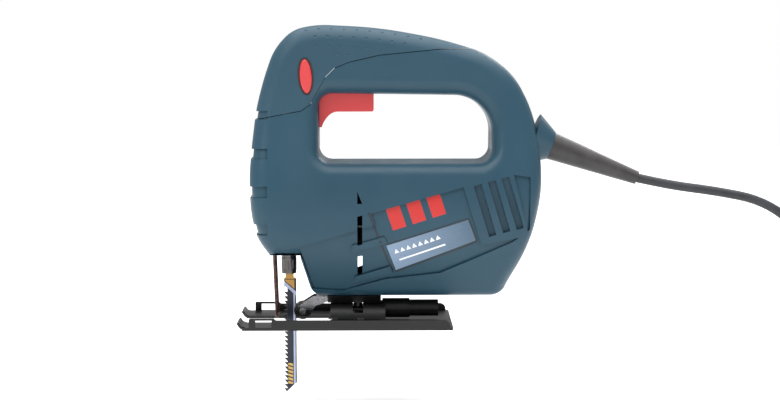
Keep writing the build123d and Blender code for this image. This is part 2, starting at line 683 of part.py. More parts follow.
with BuildPart() as brush_springs:
    add(spring(Plane((76, 21.1, MOTOR_Z), z_dir=(0, 1, 0)), 2.0, 0.25, 4.6, 4))
    add(spring(Plane((76, -21.1, MOTOR_Z), z_dir=(0, -1, 0)), 2.0, 0.25, 4.6, 4))
brush_springs.part.label = "brush_springs"
export_step(brush_springs.part, "parts/brush_springs.step")

# ---- trigger, switch and lock ---------------------------------------------
with BuildPart() as trigger:
    with BuildSketch(Plane.XZ.offset(-7.5)):
        with BuildLine():
            Line((-19.3, 136.6), (-17.6, 136.6))
            Spline((-17.6, 136.6), (-14.8, 142.2), (-7, 147.3),
                   tangents=((0.25, 1), (1, 0.1)))
            FilletPolyline((-7, 147.3), (18.1, 147.4), (18.1, 166), (-10, 166), (-19.3, 158),
                           (-19.3, 136.6), radius=(1.5, 2, 4, 2))
        make_face()
    extrude(amount=15)
    # Hollow from above, which leaves a wall of 2 mm.
    block((-10, 16), (-5.5, 5.5), (150, 163.6), mode=Mode.SUBTRACT)
    # Lug that reaches through the front wall to the pivot pin.
    block((-24.5, -18), (-3.2, 3.2), (138.2, 143.8))
    rod_y(*TRIGGER_PIVOT, 2.8, (-3.2, 3.2))
    rod_y(*TRIGGER_PIVOT, 1.5 + FIT, (-4, 4), mode=Mode.SUBTRACT)
trigger.part.label = "trigger"
export_step(trigger.part, "parts/trigger.step")

with BuildPart() as trigger_pin:
    rod_y(*TRIGGER_PIVOT, 1.5, (-7.5, 7.5))
trigger_pin.part.label = "trigger_pin"
export_step(trigger_pin.part, "parts/trigger_pin.step")

with BuildPart() as switch_body:
    block((-6, 34), (-9.5, 9.5), (177, 194))
    fillet(switch_body.edges().filter_by(Axis.Y), 1.5)
    rod_z(14, 0, 3.05, (175, 188), mode=Mode.SUBTRACT)
    for y in (-5, 5):
        block((34, 40), (y - 2.4, y + 2.4), (184, 184.8))
    for x in (0, 26):
        rod_y(x, 190, 1.6, (-15, 15), mode=Mode.SUBTRACT)
switch_body.part.label = "switch_body"
export_step(switch_body.part, "parts/switch_body.step")

with BuildPart() as switch_plunger:
    rod_z(14, 0, 3, (168, 181.5))
    rod_z(14, 0, 4, (166.3, 168.3))
switch_plunger.part.label = "switch_plunger"
export_step(switch_plunger.part, "parts/switch_plunger.step")

with BuildPart() as trigger_spring:
    add(spring(Plane((-2, 0, 166.1)), 2.6, 0.35, 10.7, 5))
trigger_spring.part.label = "trigger_spring"
export_step(trigger_spring.part, "parts/trigger_spring.step")

LOCK_FACE = -20.1
with BuildPart() as lock_bezel:
    extrude(lock_outline(1.3), amount=19.3)
    extrude(lock_outline(0.25), amount=30, mode=Mode.SUBTRACT)
    block((-60, 0), (-15.4, 5), (100, 230), mode=Mode.SUBTRACT)
lock_bezel.part.label = "lock_bezel"
export_step(lock_bezel.part, "parts/lock_bezel.step")

with BuildPart() as lock_button:
    extrude(lock_outline(0), amount=-LOCK_FACE)
    fillet(lock_button.edges().sort_by(Axis.Y)[0], 1.4)
    block((-60, 0), (-12.2, 5), (100, 230), mode=Mode.SUBTRACT)
    with BuildSketch(Plane.XZ.offset(12.2)):
        with Locations(LOCK_AT):
            Ellipse(5.3, 12.6, rotation=4)
    extrude(amount=2)
    rod_y(*LOCK_AT, 2.4, (-12.4, -3))
lock_button.part.label = "lock_button"
export_step(lock_button.part, "parts/lock_button.step")

# Guide sleeve of the lock stem, on two arms to the switch.
with BuildPart() as lock_guide:
    rod_y(*LOCK_AT, 5, (-7.6, 2.5))
    block((-24, -6), (-3, 2.5), (180, 184))
    block((-28, -20), (-3, 2.5), (173, 184))
    rod_y(*LOCK_AT, 2.4 + FIT, (-8, 0.8), mode=Mode.SUBTRACT)
lock_guide.part.label = "lock_guide"
export_step(lock_guide.part, "parts/lock_guide.step")

with BuildPart() as lock_spring:
    add(spring(Plane((LOCK_AT[0], -12.1, LOCK_AT[1]), z_dir=(0, 1, 0)), 3.4, 0.3, 4.4, 3))
lock_spring.part.label = "lock_spring"
export_step(lock_spring.part, "parts/lock_spring.step")

# ---- screws, capacitor and cord clamp -------------------------------------
with BuildPart() as housing_screws:
    for x, z in SCREWS:
        rod_y(x, z, 3.3, (SEAT_Y, SEAT_Y + 2.4))
        rod_y(x, z, SHANK_R, (-12, SEAT_Y))
        with BuildSketch(Plane.XZ.offset(-SEAT_Y - 2.4)) as drive:
            with Locations((x, z)):
                RegularPolygon(1.7, 6)
        extrude(amount=1.4, mode=Mode.SUBTRACT)
housing_screws.part.label = "housing_screws"
export_step(housing_screws.part, "parts/housing_screws.step")

with BuildPart() as suppression_capacitor:
    block((90, 106), (-8, 8), (40, 54))
    fillet(suppression_capacitor.edges().filter_by(Axis.Y), 1.5)
    for y in (-4, 4):
        rod_z(98, y, 0.5, (54, 61))
suppression_capacitor.part.label = "suppression_capacitor"
export_step(suppression_capacitor.part, "parts/suppression_capacitor.step")

CLAMP_AT = -32.0               # place of the cord clamp along the outlet axis
with BuildPart() as cord_clamp:
    with BuildSketch(outlet.offset(CLAMP_AT)):
        with Locations((0, 4.6)):
            Rectangle(24, 4)
        Circle(CORD_R, mode=Mode.SUBTRACT)
    extrude(amount=8)
    for y in (-8.5, 8.5):
        with BuildSketch(Plane(outlet.offset(CLAMP_AT + 4).origin, x_dir=(0, 1, 0),
                               z_dir=(-outlet_dir[2], 0, outlet_dir[0]))) as bore:
            with Locations((y, 0)):
                Circle(1.6)
        extrude(bore.sketch, amount=20, both=True, mode=Mode.SUBTRACT)
cord_clamp.part.label = "cord_clamp"
export_step(cord_clamp.part, "parts/cord_clamp.step")

with BuildPart() as clamp_screws:
    across = Plane(outlet.offset(CLAMP_AT + 4).origin, x_dir=(0, 1, 0),
                   z_dir=(-outlet_dir[2], 0, outlet_dir[0]))
    for y in (-8.5, 8.5):
        with BuildSketch(across.offset(-6)):
            with Locations((y, 0)):
                Circle(1.6)
        extrude(amount=12.6)
        with BuildSketch(across.offset(6.6)):
            with Locations((y, 0)):
                Circle(2.8)
        extrude(amount=1.8)
clamp_screws.part.label = "clamp_screws"
export_step(clamp_screws.part, "parts/clamp_screws.step")

# ---- sole, bevel saddle and blade guide -----------------------------------
FENCE = (-62.5, -51.5)         # window for the parallel guide, along X
with BuildPart() as sole_plate:
    block((SOLE_FRONT, SOLE_REAR), (-SOLE_HALF, SOLE_HALF), (0, SOLE_T))
    fillet(sole_plate.edges().filter_by(Axis.Z), 2)
    for inner, outer in both_sides(SOLE_HALF - 1.8, SOLE_HALF):
        with BuildSketch(Plane.XZ.offset(-outer)):
            with BuildLine():
                FilletPolyline((-67, 1), (-67, 8.3), (-50, 8.3), (-48.7, 7), (70, 7), (70, 1),
                               radius=(1, 1, 1, 4))
                Line((70, 1), (-67, 1))
            make_face()
        extrude(amount=outer - inner)
    # Blade window, open to the front, and the well of the saddle screw.
    block((-90, -14), (-13, 13), (-1, 5), mode=Mode.SUBTRACT)
    block((-15, 14), (-9, 9), (-1, 5), mode=Mode.SUBTRACT)
    block(FENCE, (-50, 50), (2.2, 7.0), mode=Mode.SUBTRACT)
    # Turned-up front tips.
    for inner, outer in both_sides(13, SOLE_HALF - 2):
        with BuildSketch(Plane.XZ.offset(-outer)):
            with BuildLine():
                Polyline((-70, 0), (-73.2, 1.2), (-75.4, 4.4), (-73.9, 5.5), (-72.2, 3),
                         (-69.4, SOLE_T), close=True)
            make_face()
        extrude(amount=outer - inner)
    for x, y in ((-9, 16.5), (9, 16.5), (-9, -16.5), (9, -16.5)):
        rod_z(x, y, 1.5, (-1, 3), mode=Mode.SUBTRACT)
sole_plate.part.label = "sole_plate"
export_step(sole_plate.part, "parts/sole_plate.step")

with BuildPart() as sole_rivets:
    for x, y in ((-9, 16.5), (9, 16.5), (-9, -16.5), (9, -16.5)):
        rod_z(x, y, 1.5, (0.2, 4.4))
        rod_z(x, y, 2.6, (4.4, 5.3))
sole_rivets.part.label = "sole_rivets"
export_step(sole_rivets.part, "parts/sole_rivets.step")

ARCH = (-12, 26)
with BuildPart() as bevel_saddle:
    rod_x(0, BEVEL_Z, ARCH_R, ARCH)
    for inner, outer in both_sides(10, 20):
        block(ARCH, (inner, outer), (SOLE_T + 0.05, 4.2))
    rod_x(0, BEVEL_Z, ARCH_BORE, (-13, 23), mode=Mode.SUBTRACT)
    # Dust tube and the collar that joins it to the arch.
    rod_x(0, 9.8, 6.8, (24, 43))
    rod_x(0, 9.8, 5.8, (43, 63))
    rod_x(0, 9.8, 4.5, (20, 64), mode=Mode.SUBTRACT)
    block((-30, 80), (-40, 40), (-30, SOLE_T + 0.05), mode=Mode.SUBTRACT)
    # Curved slot for the saddle screw, 55 degrees to each side.
    with BuildSketch(Plane.YZ.offset(3.4)):
        with Locations((0, BEVEL_Z)):
            with BuildLine():
                CenterArc((0, 0), 16, 35, 110)
                Line((0, 0), (16 * cos(radians(35)), 16 * sin(radians(35))))
                Line((0, 0), (-16 * cos(radians(35)), 16 * sin(radians(35))))
            make_face()
    extrude(amount=7.2, mode=Mode.SUBTRACT)
    # Slots along X that the sole rivets slide in.
    for x in (-9, 9):
        for y in (-16.5, 16.5):
            with BuildSketch(Plane.XY):
                with Locations((x + 6, y)):
                    SlotOverall(15.2, 3.2)
            extrude(amount=6, mode=Mode.SUBTRACT)
bevel_saddle.part.label = "bevel_saddle"
export_step(bevel_saddle.part, "parts/bevel_saddle.step")

with BuildPart() as base_shoe:
    with BuildSketch(Plane.YZ.offset(-14)):
        with BuildLine():
            Polyline((-7.2, 14.6), (-11.5, HOUSING_BOTTOM), (11.5, HOUSING_BOTTOM), (7.2, 14.6),
                     close=True)
        make_face()
    extrude(amount=37)
    rod_x(0, BEVEL_Z, ARCH_R + 0.3, (-15, 30), mode=Mode.SUBTRACT)
    rod_z(7, 0, 3, (10, 19), mode=Mode.SUBTRACT)
base_shoe.part.label = "base_shoe"
export_step(base_shoe.part, "parts/base_shoe.step")

with BuildPart() as saddle_screw:
    rod_z(7, 0, 3, (8, 19))
    rod_z(7, 0, 4.6, (4.8, 8.6))
    with BuildSketch(Plane.XY.offset(4.8)):
        with Locations((7, 0)):
            RegularPolygon(2.6, 6)
    extrude(amount=2.4, mode=Mode.SUBTRACT)
saddle_screw.part.label = "saddle_screw"
export_step(saddle_screw.part, "parts/saddle_screw.step")

with BuildPart() as saddle_washer:
    rod_x(0, BEVEL_Z, ARCH_BORE - 0.3, (1, 13))
    rod_x(0, BEVEL_Z, 8.1, (0, 14), mode=Mode.SUBTRACT)
    block((0, 14), (-5, 5), (BEVEL_Z, 14), mode=Mode.INTERSECT)
    rod_z(7, 0, 3, (0, 20), mode=Mode.SUBTRACT)
saddle_washer.part.label = "saddle_washer"
export_step(saddle_washer.part, "parts/saddle_washer.step")

ROLLER = (-31.5, 8.4)
with BuildPart() as roller_fork:
    for inner, outer in both_sides(4.1, 5.9):
        with BuildSketch(Plane.XZ.offset(-outer)):
            with BuildLine():
                FilletPolyline((-14, 15.2), (-14, 18.8), (-24, 18.8), (-35.2, 11.6), (-35.2, 5),
                               (-27.6, 5), (-22.5, 12), radius=(1, 2, 3, 3, 3))
                Line((-22.5, 12), (-14, 15.2))
            make_face()
        extrude(amount=outer - inner)
    block((-22, -14), (-5.9, 5.9), (16.2, 18.8))
    rod_y(*ROLLER, 1.5, (-7, 7), mode=Mode.SUBTRACT)
roller_fork.part.label = "roller_fork"
export_step(roller_fork.part, "parts/roller_fork.step")

with BuildPart() as guide_roller:
    rod_y(*ROLLER, 6.1, (-3.7, 3.7))
    with BuildSketch(Plane.XZ.offset(-0.95)):
        with Locations(ROLLER):
            Circle(8)
            Circle(4.3, mode=Mode.SUBTRACT)
    extrude(amount=1.9, mode=Mode.SUBTRACT)
    rod_y(*ROLLER, 1.5 + FIT, (-5, 5), mode=Mode.SUBTRACT)
guide_roller.part.label = "guide_roller"
export_step(guide_roller.part, "parts/guide_roller.step")

with BuildPart() as roller_pin:
    rod_y(*ROLLER, 1.5, (-6.4, 6.4))
    for inner, outer in both_sides(5.9, 6.7):
        rod_y(*ROLLER, 2.3, (inner, outer))
roller_pin.part.label = "roller_pin"
export_step(roller_pin.part, "parts/roller_pin.step")

WIRE_R = 1.1
with BuildPart() as touch_guard:
    with BuildLine():
        guard_path = FilletPolyline((-50.7, -7, 54), (-50.7, -7, 44), (-49.2, -7, 4.2),
                                    (-49.2, 7, 4.2), (-50.7, 7, 44), (-50.7, 7, 54),
                                    radius=(30, 3, 3, 30))
    with BuildSketch(Plane(origin=guard_path @ 0, z_dir=guard_path % 0)):
        Circle(WIRE_R)
    sweep()
touch_guard.part.label = "touch_guard"
export_step(touch_guard.part, "parts/touch_guard.step")

# ---- bend relief, cord, coil and plug -------------------------------------
with BuildPart() as bend_relief:
    with BuildSketch(outlet.offset(-12)):
        Circle(7.9)
    extrude(amount=12)
    with BuildSketch(outlet):
        Circle(9.5)
    with BuildSketch(outlet.offset(relief_length)):
        Circle(4.65)
    loft()
    with BuildSketch(outlet.offset(-13)):
        Circle(CORD_R)
    extrude(amount=relief_length + 14, mode=Mode.SUBTRACT)
bend_relief.part.label = "bend_relief"
export_step(bend_relief.part, "parts/bend_relief.step")

with BuildPart() as cord_lead_in:
    with BuildSketch(outlet.offset(-36)):
        Circle(CORD_R)
    extrude(amount=relief_length + 36)
cord_lead_in.part.label = "cord_lead_in"
export_step(cord_lead_in.part, "parts/cord_lead_in.step")

ROUTE = [(200.9, 0, 100.8), (224, 0, 95.6), (256, 0, 91.6), (291, 1, 84.5), (319, 3, 63),
         (336, 5, 31), (349, 8, -2), (370, 11, -28), (397, 14, -39.5), (423, 15.2, -44.5)]
TAIL = [(398.2, -52.7, -56.95), (390.5, -48.3, -56.1), (383, -43.9, -53.2), (376, -39.8, -53.2)]


def cord_tube(points):
    """A tube along runs joined by arcs as large as they have room for."""
    radii = []
    for back, here, ahead in zip(points, points[1:], points[2:]):
        come = Vector(*here) - Vector(*back)
        go = Vector(*ahead) - Vector(*here)
        half_turn = radians(come.get_angle(go)) / 2
        radii.append(0.45 * min(come.length, go.length) / tan(half_turn))
    with BuildPart() as tube:
        with BuildLine():
            path = FilletPolyline(*points, radius=radii)
        with BuildSketch(Plane(origin=path @ 0, z_dir=path % 0)):
            Circle(CORD_R)
        sweep()
    print("arc radii", [round(radius) for radius in radii], "length", round(path.length, 1),
          "volume ratio", round(tube.part.volume / (pi * CORD_R ** 2 * path.length), 4))
    return tube.part


coil_low = FLOOR_Z + COIL_LIFT
coil_high = coil_low + 6 * CORD_R
coil_in = COIL_COLUMNS[0] - CORD_R
coil_out = COIL_COLUMNS[-1] + CORD_R
with BuildPart() as cord_coil:
    rod_z(*COIL_AT, coil_out, (coil_low, coil_high))
    rod_z(*COIL_AT, coil_in, (coil_low - 1, coil_high + 1), mode=Mode.SUBTRACT)
    fillet(cord_coil.edges().filter_by(GeomType.CIRCLE), 3)
cord_coil.part.label = "cord_coil"
export_step(cord_coil.part, "parts/cord_coil.step")

with BuildPart() as power_cord:
    add(cord_tube(ROUTE))
    add(cord_coil.part, mode=Mode.SUBTRACT)
power_cord.part.label = "power_cord"
export_step(power_cord.part, "parts/power_cord.step")

with BuildPart() as cord_tail:
    add(cord_tube(TAIL))
    add(cord_coil.part, mode=Mode.SUBTRACT)
cord_tail.part.label = "cord_tail"
export_step(cord_tail.part, "parts/cord_tail.step")

# Band around the coil where it is tied.
TIE_ANGLE = 20
tie_plane = Plane(origin=(*COIL_AT, (coil_low + coil_high) / 2),
                  x_dir=(cos(radians(TIE_ANGLE)), sin(radians(TIE_ANGLE)), 0),
                  z_dir=(-sin(radians(TIE_ANGLE)), cos(radians(TIE_ANGLE)), 0))
with BuildPart() as cord_tie:
    with BuildSketch(tie_plane.offset(-4)):
        with Locations(((coil_in + coil_out) / 2, 0)):
            RectangleRounded(6 * CORD_R + 2 * COIL_LIFT, 6 * CORD_R + 2 * COIL_LIFT, 3.6)
    extrude(amount=8)
    add(cord_coil.part, mode=Mode.SUBTRACT)
cord_tie.part.label = "cord_tie"
export_step(cord_tie.part, "parts/cord_tie.step")

# Two-pin plug lying beside the coil, pins pointing back at the tool.
plug_dir = Vector(*TAIL[-1]) - Vector(*TAIL[-2])
plug_dir = Vector(plug_dir.X, plug_dir.Y, 0).normalized()
plug_axis = Plane(origin=TAIL[-1], x_dir=(-plug_dir.Y, plug_dir.X, 0), z_dir=plug_dir)
with BuildPart() as plug_body:
    with BuildSketch(plug_axis):
        Circle(4.4)
    with BuildSketch(plug_axis.offset(18)):
        RectangleRounded(15, 11, 5)
    loft()
    with BuildSketch(plug_axis.offset(18)):
        RectangleRounded(18, 13, 6)
    with BuildSketch(plug_axis.offset(32)):
        RectangleRounded(31, 15, 7)
    loft()
    with BuildSketch(plug_axis.offset(32)):
        RectangleRounded(31, 15, 7)
    with BuildSketch(plug_axis.offset(52)):
        RectangleRounded(34.5, 15.6, 7)
    loft()
    for side in (-9.5, 9.5):
        with BuildSketch(plug_axis.offset(48)):
            with Locations((side, 0)):
                Circle(2.4)
        extrude(amount=5, mode=Mode.SUBTRACT)
plug_body.part.label = "plug_body"
export_step(plug_body.part, "parts/plug_body.step")

with BuildPart() as plug_pins:
    for side in (-9.5, 9.5):
        with BuildSketch(plug_axis.offset(48)):
            with Locations((side, 0)):
                Circle(2.4)
        extrude(amount=23)
    fillet(plug_pins.edges().filter_by(GeomType.CIRCLE).sort_by(SortBy.DISTANCE)[-2:], 1)
plug_pins.part.label = "plug_pins"
export_step(plug_pins.part, "parts/plug_pins.step")
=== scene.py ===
import json
import math

import bpy
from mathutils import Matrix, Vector
from mathutils.bvhtree import BVHTree

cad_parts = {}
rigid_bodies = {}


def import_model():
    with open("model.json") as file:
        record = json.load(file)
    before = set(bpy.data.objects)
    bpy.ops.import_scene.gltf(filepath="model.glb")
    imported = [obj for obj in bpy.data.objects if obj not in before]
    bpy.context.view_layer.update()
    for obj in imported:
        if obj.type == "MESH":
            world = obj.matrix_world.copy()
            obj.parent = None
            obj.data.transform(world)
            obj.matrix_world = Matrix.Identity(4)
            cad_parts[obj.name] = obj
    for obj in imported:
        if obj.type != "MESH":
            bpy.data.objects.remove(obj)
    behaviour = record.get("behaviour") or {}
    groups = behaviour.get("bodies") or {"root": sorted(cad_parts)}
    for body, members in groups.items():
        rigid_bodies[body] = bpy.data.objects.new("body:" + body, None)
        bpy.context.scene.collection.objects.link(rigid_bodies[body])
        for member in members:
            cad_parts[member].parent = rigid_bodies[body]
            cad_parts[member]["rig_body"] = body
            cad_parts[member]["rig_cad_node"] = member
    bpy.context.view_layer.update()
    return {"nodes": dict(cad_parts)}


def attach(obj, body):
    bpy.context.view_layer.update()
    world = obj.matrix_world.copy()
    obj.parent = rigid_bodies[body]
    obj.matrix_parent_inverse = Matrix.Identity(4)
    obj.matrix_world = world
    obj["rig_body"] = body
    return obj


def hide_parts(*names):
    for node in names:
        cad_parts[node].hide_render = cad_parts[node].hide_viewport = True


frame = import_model()
bpy.ops.object.select_all(action="DESELECT")

# ---- studio ----
# The tool is held over a plain white floor, blade free, under soft lamps.
# The camera stands back with a long lens, a little above the tool.
FLOOR_LEVEL = -0.061
SKY_ON_TOOL, SKY_BEHIND = 0.55, 1.0            # the air's strength as light, and as seen
CAMERA_SPOT, CAMERA_AIM = (0.013, -1.117, 0.205), (0.0294, 0, 0.0855)
bpy.context.scene.view_settings.view_transform = "Standard"

paper = bpy.data.materials.new("studio_paper")
paper.use_nodes = True
paper_tree = paper.node_tree
paper_shader = paper_tree.nodes["Principled BSDF"]
paper_shader.inputs["Base Color"].default_value = (0.93, 0.93, 0.93, 1)
paper_shader.inputs["Roughness"].default_value = 0.9
paper_shader.inputs["Specular IOR Level"].default_value = 0.1
paper_grain = paper_tree.nodes.new("ShaderNodeTexNoise")
paper_grain.inputs["Scale"].default_value = 60
paper_bump = paper_tree.nodes.new("ShaderNodeBump")
paper_bump.inputs["Strength"].default_value = 0.02
paper_tree.links.new(paper_grain.outputs["Fac"], paper_bump.inputs["Height"])
paper_tree.links.new(paper_bump.outputs["Normal"], paper_shader.inputs["Normal"])

bpy.ops.mesh.primitive_plane_add(size=5, location=(0, 0, FLOOR_LEVEL))
floor = bpy.context.object
floor.name = "floor"
floor.data.materials.append(paper)

sky = bpy.data.worlds.new("studio_air")
bpy.context.scene.world = sky
sky.use_nodes = True
sky_tree = sky.node_tree
sky_tree.nodes["Background"].inputs["Color"].default_value = (1, 1, 1, 1)
sky_ray = sky_tree.nodes.new("ShaderNodeLightPath")
sky_level = sky_tree.nodes.new("ShaderNodeMapRange")
sky_level.inputs["To Min"].default_value = SKY_ON_TOOL
sky_level.inputs["To Max"].default_value = SKY_BEHIND
sky_tree.links.new(sky_ray.outputs["Is Camera Ray"], sky_level.inputs["Value"])
sky_tree.links.new(sky_level.outputs["Result"], sky_tree.nodes["Background"].inputs["Strength"])


def lamp(name, spot, aim, size, power):
    """A square soft lamp that faces a point."""
    bpy.ops.object.light_add(type="AREA", location=spot)
    light = bpy.context.object
    light.name = name
    light.data.size = size
    light.data.energy = power
    light.rotation_mode = "QUATERNION"
    light.rotation_quaternion = (Vector(aim) - Vector(spot)).to_track_quat("-Z", "Y")


TOOL_MIDDLE = (0.03, 0, 0.09)
lamp("overhead_lamp", (0, -0.1, 2.4), TOOL_MIDDLE, 3.6, 150)
lamp("front_lamp", (-1.1, -1.3, 1.3), TOOL_MIDDLE, 0.7, 7)
lamp("rear_lamp", (0.9, 1.5, 1.1), TOOL_MIDDLE, 0.8, 8)

bpy.ops.object.camera_add(location=CAMERA_SPOT)
camera = bpy.context.object
camera.name = "camera"
camera.data.sensor_width = 36
camera.data.lens = 74.6
camera.data.clip_start = 0.05
camera.data.clip_end = 40
camera.rotation_mode = "QUATERNION"
camera.rotation_quaternion = (Vector(CAMERA_AIM) - camera.location).to_track_quat("-Z", "Y")
bpy.context.scene.camera = camera

# ---- mains lead ----
# A round two-core rubber lead, 6.5 mm thick, that droops out of the bend relief
# and runs down to the floor, where the rest of it is put away as a neat coil.
CORD_THICK = 0.0065
lead_run = [(0.2009, 0, 0.1008), (0.224, 0, 0.0956), (0.256, 0, 0.0916), (0.291, 0.001, 0.0845),
            (0.319, 0.003, 0.063), (0.336, 0.005, 0.031), (0.349, 0.008, -0.002),
            (0.370, 0.011, -0.026), (0.397, 0.0138, -0.0368), (0.4165, 0.0152, -0.0432)]
COIL_MIDDLE = (0.420, -0.015)
COIL_INNER, COIL_CENTRE, COIL_OUTER = 0.0305, 0.037, 0.0435
COIL_TOP, COIL_HALFWAY, COIL_BOTTOM = -0.04395, -0.05045, -0.05695
coil_lanes = [(COIL_INNER, COIL_TOP), (COIL_CENTRE, COIL_TOP), (COIL_OUTER, COIL_TOP),
              (COIL_OUTER, COIL_HALFWAY), (COIL_CENTRE, COIL_HALFWAY), (COIL_INNER, COIL_HALFWAY),
              (COIL_INNER, COIL_BOTTOM), (COIL_CENTRE, COIL_BOTTOM), (COIL_OUTER, COIL_BOTTOM)]
TURN_POINTS = 16
LANE_CHANGE_AT, LANE_CHANGE_ARC = 230, 80      # degrees wound before each change, and its sweep
WOUND = 3084                                   # degrees from the lead's arrival to its tail
ARRIVES_AT = 84                                # bearing at which the lead meets the coil
coil_run = []
for step in range(1, round(WOUND / 360 * TURN_POINTS)):
    wound = step * 360 / TURN_POINTS
    lane = math.floor((wound - LANE_CHANGE_AT) / 360)
    if lane < 0:
        radius, height = coil_lanes[0]
    else:
        share = min(((wound - LANE_CHANGE_AT) % 360) / LANE_CHANGE_ARC, 1)
        share = share * share * (3 - 2 * share)
        near, far = coil_lanes[lane], coil_lanes[lane + 1]
        radius = near[0] + (far[0] - near[0]) * share
        height = near[1] + (far[1] - near[1]) * share
    radius /= math.cos(math.pi / TURN_POINTS)  # the line runs inside its points
    bearing = math.radians(ARRIVES_AT - wound)
    coil_run.append((COIL_MIDDLE[0] + radius * math.cos(bearing),
                     COIL_MIDDLE[1] + radius * math.sin(bearing), height))
tail_run = [(0.3982, -0.0527, -0.05695), (0.3905, -0.0483, -0.0561), (0.383, -0.0439, -0.0532),
            (0.376, -0.0398, -0.0532)]
lead_points = lead_run + coil_run + tail_run

lead_curve = bpy.data.curves.new("mains_lead", "CURVE")
lead_curve.dimensions = "3D"
lead_curve.bevel_depth = CORD_THICK / 2
lead_curve.bevel_resolution = 5
lead_curve.resolution_u = 6
lead_curve.use_fill_caps = True
lead_line = lead_curve.splines.new("NURBS")
lead_line.points.add(len(lead_points) - 1)
for point, place in zip(lead_line.points, lead_points):
    point.co = (*place, 1)
lead_line.order_u = 3
lead_line.use_endpoint_u = True
mains_lead = bpy.data.objects.new("mains_lead", lead_curve)
bpy.context.scene.collection.objects.link(mains_lead)


def new_finish(name, colour, rough, metal=0.0, specular=0.5):
    """A material with plain values on its shader, its nodes, and the piece's own coordinates."""
    finish = bpy.data.materials.new(name)
    finish.use_nodes = True
    tree = finish.node_tree
    shader = tree.nodes["Principled BSDF"]
    shader.inputs["Base Color"].default_value = (*colour, 1)
    shader.inputs["Roughness"].default_value = rough
    shader.inputs["Metallic"].default_value = metal
    shader.inputs["Specular IOR Level"].default_value = specular
    coords = tree.nodes.new("ShaderNodeTexCoord")
    return finish, tree, shader, coords.outputs["Object"]


def mottle(tree, coords, scale, detail=3.0, stretch=(1, 1, 1)):
    """Cloudy noise on the piece, drawn out along an axis where stretch is small."""
    place = tree.nodes.new("ShaderNodeMapping")
    place.inputs["Scale"].default_value = stretch
    noise = tree.nodes.new("ShaderNodeTexNoise")
    noise.inputs["Scale"].default_value = scale
    noise.inputs["Detail"].default_value = detail
    tree.links.new(coords, place.inputs["Vector"])
    tree.links.new(place.outputs["Vector"], noise.inputs["Vector"])
    return noise.outputs["Fac"]


def shade_between(tree, value, dark, light, socket, low=0.3, high=0.7):
    """Spreads two colours over a value, into a colour socket."""
    ramp = tree.nodes.new("ShaderNodeValToRGB")
    ramp.color_ramp.elements[0].position = low
    ramp.color_ramp.elements[0].color = (*dark, 1)
    ramp.color_ramp.elements[1].position = high
    ramp.color_ramp.elements[1].color = (*light, 1)
    tree.links.new(value, ramp.inputs["Fac"])
    tree.links.new(ramp.outputs["Color"], socket)
    return ramp


def gloss_between(tree, shader, value, smooth, rough):
    """Spreads the roughness over a value."""
    spread = tree.nodes.new("ShaderNodeMapRange")
    spread.inputs["From Min"].default_value = 0.3
    spread.inputs["From Max"].default_value = 0.7
    spread.inputs["To Min"].default_value = smooth
    spread.inputs["To Max"].default_value = rough
    tree.links.new(value, spread.inputs["Value"])
    tree.links.new(spread.outputs["Result"], shader.inputs["Roughness"])


def relief_from(tree, shader, value, depth, strength=0.5):
    """Turns a value into small relief, depth in metres."""
    bump = tree.nodes.new("ShaderNodeBump")
    bump.inputs["Strength"].default_value = strength
    bump.inputs["Distance"].default_value = depth
    tree.links.new(value, bump.inputs["Height"])
    tree.links.new(bump.outputs["Normal"], shader.inputs["Normal"])


def rubber(name, dark, light, rough):
    """Matt moulded or extruded rubber with faint bloom and fine skin."""
    finish, tree, shader, coords = new_finish(name, light, rough, specular=0.35)
    bloom = mottle(tree, coords, 90, 4)
    shade_between(tree, bloom, dark, light, shader.inputs["Base Color"])
    gloss_between(tree, shader, bloom, rough - 0.08, rough + 0.08)
    relief_from(tree, shader, mottle(tree, coords, 2200, 2), 0.00015, 0.35)
    return finish


def dress(node, finish):
    """Gives a carried-over CAD node its material."""
    node = frame["nodes"][node]
    node.data.materials.clear()
    node.data.materials.append(finish)


cord_rubber = rubber("cord_rubber", (0.020, 0.021, 0.024), (0.036, 0.038, 0.043), 0.55)
lead_curve.materials.append(cord_rubber)
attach(mains_lead, "housing")
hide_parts("power_cord", "cord_coil", "cord_tail")
dress("cord_lead_in", cord_rubber)

# ---- bend relief, plug and tie ----
# The relief is a soft sleeve pushed into the housing; the plug is moulded
# onto the lead round two brass pins, and a hook tie holds the coil.
dress("bend_relief", rubber("relief_rubber", (0.028, 0.026, 0.027), (0.052, 0.049, 0.049), 0.42))
dress("plug_body", rubber("plug_rubber", (0.017, 0.018, 0.020), (0.030, 0.031, 0.034), 0.45))


def metal(name, dark, light, rough, grain=700, stretch=(1, 1, 1), depth=0.00006):
    """Bare or plated metal with fine marks from its making."""
    finish, tree, shader, coords = new_finish(name, light, rough, metal=1.0)
    marks = mottle(tree, coords, grain, 3, stretch)
    shade_between(tree, marks, dark, light, shader.inputs["Base Color"])
    gloss_between(tree, shader, mottle(tree, coords, 120, 3), rough * 0.75, rough * 1.3)
    relief_from(tree, shader, marks, depth, 0.4)
    return finish


dress("plug_pins", metal("plug_brass", (0.52, 0.43, 0.22), (0.72, 0.62, 0.36), 0.24))
tie_webbing, tree, shader, coords = new_finish("tie_webbing", (0.03, 0.03, 0.03), 0.85)
weave = tree.nodes.new("ShaderNodeTexWave")
weave.inputs["Scale"].default_value = 380
weave.inputs["Distortion"].default_value = 1.5
tree.links.new(coords, weave.inputs["Vector"])
shade_between(tree, weave.outputs["Fac"], (0.012, 0.012, 0.013), (0.05, 0.05, 0.052),
              shader.inputs["Base Color"])
relief_from(tree, shader, weave.outputs["Fac"], 0.0003, 0.6)
dress("cord_tie", tie_webbing)

# ---- housing halves ----
# Two injection moulded shells of blue-grey glass-filled nylon, screwed
# together along the middle. The skin is satin with a fine spark texture.


